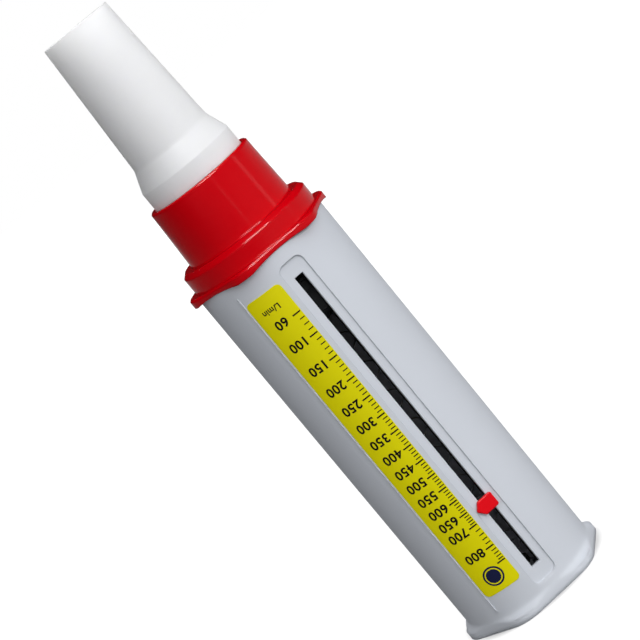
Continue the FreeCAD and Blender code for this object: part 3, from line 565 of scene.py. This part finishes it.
# %% [markdown]
# Handing the finishes out. The record names a slot for each solid, so a loop over it leaves no
# piece bare, and nothing is moved or reshaped.

# %% Finishes on the pieces
for piece in frame["record"]["subparts"]:
    node = frame["nodes"][piece["node"]]
    for slot in node.material_slots:
        slot.material = FINISHES[piece["material_slot"]]
print(len(FINISHES), "finishes on", len(frame["nodes"]), "pieces")

# %% [markdown]
# Return spring. The real one is a long, light coil of thin round wire whose last turn at each end
# is closed, so that it sits flat. The imported solid goes round in straight steps of square wire.
# A curve with a round bevel gives the true wire: its path is a plain formula for the height at
# each angle.

# %% Path of the spring's wire
WIRE_HALF = 0.22 * MM
COIL_RADIUS = 5.7 * MM
TURNS = 12
CLOSED_PITCH = 2.2 * WIRE_HALF


def coil_point(turn, low, high):
    """Point of the wire's middle line after so many turns; one turn at each end lies closed."""
    open_part = min(max((turn - 1) / (TURNS - 2), 0), 1)
    closed_part = min(turn, 1) + max(turn - TURNS + 1, 0)
    height = low + CLOSED_PITCH * closed_part + (high - low - 2 * CLOSED_PITCH) * open_part
    angle = 2 * math.pi * turn
    return (COIL_RADIUS * math.cos(angle), COIL_RADIUS * math.sin(angle), height)


# %% Round wire
PER_TURN = 32
WIRE_STEPS = 2


def draw_wire(low, high):
    """Mesh of the round wire between two heights."""
    curve = bpy.data.curves.new("wound_wire", "CURVE")
    curve.dimensions = "3D"
    curve.bevel_depth = WIRE_HALF
    curve.bevel_resolution = WIRE_STEPS
    curve.use_fill_caps = True
    wire = curve.splines.new("POLY")
    wire.points.add(TURNS * PER_TURN)
    for i, point in enumerate(wire.points):
        point.co = (*coil_point(i / PER_TURN, low, high), 1)
    drawn = bpy.data.objects.new("wound_wire", curve)
    mesh = bpy.data.meshes.new_from_object(drawn)
    bpy.data.objects.remove(drawn)
    bpy.data.curves.remove(curve)
    mesh.name = "return_spring_wire"
    for face in mesh.polygons:
        face.use_smooth = True
    return mesh


def wind_spring():
    foot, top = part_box("return_spring")
    mesh = draw_wire(foot[2] + WIRE_HALF, top[2] - WIRE_HALF)
    mesh.materials.append(FINISHES["spring_steel"])
    spring = bpy.data.objects.new("return_spring_wire", mesh)
    bpy.context.scene.collection.objects.link(spring)
    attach(spring, "housing")
    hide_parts("return_spring")
    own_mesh(spring)
    return spring


spring = wind_spring()
print("spring of", TURNS, "turns with", len(spring.data.polygons), "faces")

# %% [markdown]
# The scale. The real scale is printed on a film that follows the round body. An image texture
# would need a picture, so the marks are thin pieces of ink instead. The flow through the slot grows
# faster than the piston's travel, so the marks crowd together towards the base; one smooth curve
# gives the height of every mark.

# %% Film and scale measures
FILM_RADIUS = max(v.co.xy.length for v in frame["nodes"]["scale_label"].data.vertices)
INK_RADIUS = FILM_RADIUS + 0.02 * MM
FILM_RIGHT = math.radians(14.9)
SCALE_CURVE = (120.74, -22.71, 2.968, -0.3368, 0.0163)


def mark_height(flow):
    """Height of a flow's mark on the film; the curve is in millimetres and hundreds of litres."""
    return MM * sum(factor * (flow / 100) ** power for power, factor in enumerate(SCALE_CURVE))


print("film radius in mm:", round(FILM_RADIUS / MM, 3))
print("marks run from", round(mark_height(60) / MM, 1), "down to", round(mark_height(900) / MM, 1), "mm")

# %% [markdown]
# Rolling the print on. A mark is drawn flat, which is easy for bars, discs and figures alike. It is
# then cut into narrow upright strips, and each corner is turned round the meter's axis onto the
# film's radius. Without the cuts a wide figure would stay a flat plate and sink into the film.

# %% Rolling flat print onto the film
STRIP_WIDE = 0.4 * MM


def roll_onto_film(mesh, across, up):
    """Turn a flat mesh, drawn in metres from its own origin, into ink on the film.

    across is how far the origin lies left of the film's right edge, and up is its height.
    """
    work = bmesh.new()
    work.from_mesh(mesh)
    reach = [v.co.x for v in work.verts]
    for i in range(math.floor(min(reach) / STRIP_WIDE), math.ceil(max(reach) / STRIP_WIDE) + 1):
        parts = work.verts[:] + work.edges[:] + work.faces[:]
        bmesh.ops.bisect_plane(work, geom=parts, plane_co=(i * STRIP_WIDE, 0, 0), plane_no=(1, 0, 0))
    for vertex in work.verts:
        angle = FILM_RIGHT + (across - vertex.co.x) / FILM_RADIUS
        side = -math.sin(angle) * INK_RADIUS
        front = -math.cos(angle) * INK_RADIUS
        vertex.co = Vector((side, front, up + vertex.co.y))
    bmesh.ops.recalc_face_normals(work, faces=work.faces)
    for face in work.faces:
        middle = face.calc_center_median()
        if face.normal.x * middle.x + face.normal.y * middle.y < 0:
            face.normal_flip()
    work.to_mesh(mesh)
    work.free()
    return mesh


# %% [markdown]
# Figures. They stand head down, as on the real film, which is read with the mouth end held away.
# A text curve gives their shapes, but the plain typeface is too light for the print. The curve's
# own offset breaks the outlines at this size, so the mesh's outline is moved outwards instead.

# %% Heavier strokes
SAME_POINT = 1e-5
SHARPEST_CORNER = 0.6


def thicken(mesh, weight):
    """Move the outline of a flat mesh outwards by the weight, at its holes too."""
    work = bmesh.new()
    work.from_mesh(mesh)
    bmesh.ops.remove_doubles(work, verts=work.verts, dist=SAME_POINT)
    moves = {}
    for vertex in work.verts:
        rims = [edge for edge in vertex.link_edges if edge.is_boundary]
        if len(rims) != 2:
            continue
        normals = []
        for rim in rims:
            along = rim.other_vert(vertex).co - vertex.co
            out = Vector((along.y, -along.x, 0)).normalized()
            inside = rim.link_faces[0].calc_center_median() - vertex.co
            normals.append(-out if out.dot(inside) > 0 else out)
        both = normals[0] + normals[1]
        moves[vertex] = both * (weight / max(SHARPEST_CORNER, 1 + normals[0].dot(normals[1])))
    for vertex, move in moves.items():
        vertex.co += move
    work.to_mesh(mesh)
    work.free()


# %% Flat figures and words
FIGURE_SHARE = 0.73


def flat_words(text, height, weight=0.0, spacing=1.0):
    """Flat mesh of a figure or word, centred on its origin and turned head down.

    It is drawn a thousand times too large, because very small outlines fill badly. weight is
    how far each stroke is thickened on both sides. A figure is FIGURE_SHARE of its type's size.
    """
    curve = bpy.data.curves.new("drawn_words", "FONT")
    curve.body = text
    curve.size = (height - 2 * weight) / MM / FIGURE_SHARE
    curve.space_character = spacing
    curve.resolution_u = 6
    curve.align_x = "CENTER"
    curve.align_y = "CENTER"
    drawn = bpy.data.objects.new("drawn_words", curve)
    mesh = bpy.data.meshes.new_from_object(drawn)
    bpy.data.objects.remove(drawn)
    bpy.data.curves.remove(curve)
    thicken(mesh, weight / MM)
    low = min(v.co.y for v in mesh.vertices)
    high = max(v.co.y for v in mesh.vertices)
    for vertex in mesh.vertices:
        vertex.co = Vector((-vertex.co.x, (low + high) / 2 - vertex.co.y, 0)) * MM
    return mesh


# %% [markdown]
# Flat shapes. A bar is one flat rectangle. A disc and a ring come from one function, which leaves
# the middle open where it gets an inner radius.

# %% Flat bars, discs and rings
DISC_SIDES = 64


def flat_bar(length, thick):
    """Flat rectangle whose right-hand end is at the origin."""
    half = thick / 2
    corners = [(-length, -half, 0), (0, -half, 0), (0, half, 0), (-length, half, 0)]
    mesh = bpy.data.meshes.new("drawn_bar")
    mesh.from_pydata(corners, [], [(0, 1, 2, 3)])
    return mesh


def flat_disc(radius, inner=0.0, sides=DISC_SIDES):
    """Flat disc, or a flat ring where inner is more than zero."""
    work = bmesh.new()
    angles = [2 * math.pi * i / sides for i in range(sides)]
    rim = [work.verts.new((radius * math.cos(angle), radius * math.sin(angle), 0)) for angle in angles]
    if inner:
        hole = [work.verts.new((inner * v.co.x / radius, inner * v.co.y / radius, 0)) for v in rim]
        for i in range(sides):
            j = (i + 1) % sides
            work.faces.new((rim[i], rim[j], hole[j], hole[i]))
    else:
        work.faces.new(rim)
    mesh = bpy.data.meshes.new("drawn_disc")
    work.to_mesh(mesh)
    work.free()
    return mesh


# %% [markdown]
# Joining. A scale of ninety separate marks would be slow to handle, so all marks of one kind
# become one piece. It rides with the housing, as the film does, and takes the ink it is given.

# %% One piece from many marks


def join_print(name, meshes, material):
    """One piece from many rolled meshes."""
    work = bmesh.new()
    for mesh in meshes:
        work.from_mesh(mesh)
        bpy.data.meshes.remove(mesh)
    mesh = bpy.data.meshes.new(name)
    work.to_mesh(mesh)
    work.free()
    mesh.materials.append(material)
    piece = bpy.data.objects.new(name, mesh)
    bpy.context.scene.collection.objects.link(piece)
    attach(piece, "housing")
    return piece


# %% [markdown]
# Inks. The black is a thin matte ink, and the badge is a dark blue one with a ring in the film's
# own yellow. They use the same recipe as the pieces, with little gloss, because the film's gloss
# ends where ink covers it.

# %% Inks
INK = finish("scale_ink", (0.006, 0.006, 0.006), 0.5, grain=3000.0, drift=0.2, specular=0.1)
BADGE_INK = finish("badge_ink", (0.010, 0.013, 0.054), 0.4, grain=3000.0, drift=0.1, specular=0.1)
BADGE_RING = finish("badge_ring", (0.77, 0.70, 0.0), 0.4, grain=900.0, depth=0.01 * MM, drift=0.03,
                    specular=0.12)
print("inks:", INK.name, BADGE_INK.name, BADGE_RING.name)

# %% [markdown]
# Marks. The long bars belong to the figures and to the end of the scale, and the short ones divide
# the flow in steps of ten, and above seven hundred in steps of twenty. All bars start at the
# film's right edge, next to the slot, where the pointer's tip reads them.

# %% Long and short bars
MARGIN = 0.25 * MM
LONG_TICK = 2.6 * MM
SHORT_TICK = 1.6 * MM
LONG_THICK = 0.44 * MM
SHORT_THICK = 0.32 * MM
NUMBERED = [60] + list(range(100, 701, 50)) + [800, 900]
SHORT = [flow for flow in list(range(70, 700, 10)) + list(range(720, 900, 20)) if flow not in NUMBERED]


def print_ticks():
    bars = []
    for flow in NUMBERED:
        bars.append(roll_onto_film(flat_bar(LONG_TICK, LONG_THICK), MARGIN, mark_height(flow)))
    for flow in SHORT:
        bars.append(roll_onto_film(flat_bar(SHORT_TICK, SHORT_THICK), MARGIN, mark_height(flow)))
    return join_print("scale_ticks", bars, INK)


print_ticks()
print("printed", len(NUMBERED), "long and", len(SHORT), "short marks")

# %% [markdown]
# Figures and unit. Each figure stands beside its long bar, and the unit stands above the first.
# The heavier strokes and the wider spacing bring the plain typeface close to the printed one.

# %% Figures and unit
FIGURE_HEIGHT = 3.0 * MM
FIGURE_ACROSS = 6.6 * MM
UNIT_HEIGHT = 1.9 * MM
UNIT_ACROSS = 6.4 * MM
UNIT_UP = 112.8 * MM


def print_figures():
    figures = []
    for flow in NUMBERED[:-1]:
        drawn = flat_words(str(flow), FIGURE_HEIGHT, weight=0.1 * MM, spacing=1.08)
        figures.append(roll_onto_film(drawn, FIGURE_ACROSS, mark_height(flow)))
    return join_print("scale_figures", figures, INK)


def print_unit():
    drawn = flat_words("L/min", UNIT_HEIGHT, weight=0.06 * MM, spacing=1.05)
    return join_print("scale_unit", [roll_onto_film(drawn, UNIT_ACROSS, UNIT_UP)], INK)


for words in (print_figures(), print_unit()):
    print(words.name, "has", len(words.data.polygons), "faces")

# %% [markdown]
# Badge. A plain dark-blue disc with a plain ring closes the scale at its lower end. The ring is a
# hair further out than the disc, because two surfaces in one place would flicker.

# %% Round badge
BADGE_RADIUS = 3.05 * MM
RING_OUTER = 2.5 * MM
RING_INNER = 2.15 * MM
RING_PROUD = 0.015 * MM
BADGE_ACROSS = 6.0 * MM
BADGE_UP = 15.8 * MM


def print_badge():
    disc = roll_onto_film(flat_disc(BADGE_RADIUS), BADGE_ACROSS, BADGE_UP)
    join_print("badge_disc", [disc], BADGE_INK)
    ring = roll_onto_film(flat_disc(RING_OUTER, RING_INNER), BADGE_ACROSS, BADGE_UP)
    for vertex in ring.vertices:
        vertex.co.xy *= 1 + RING_PROUD / INK_RADIUS
    return join_print("badge_ring", [ring], BADGE_RING)


print_badge()
print("badge of", 2 * BADGE_RADIUS / MM, "mm")

# %% [markdown]
# Picture settings. Standard keeps each colour as it is written.

# %% Picture settings
bpy.context.scene.view_settings.view_transform = "Standard"
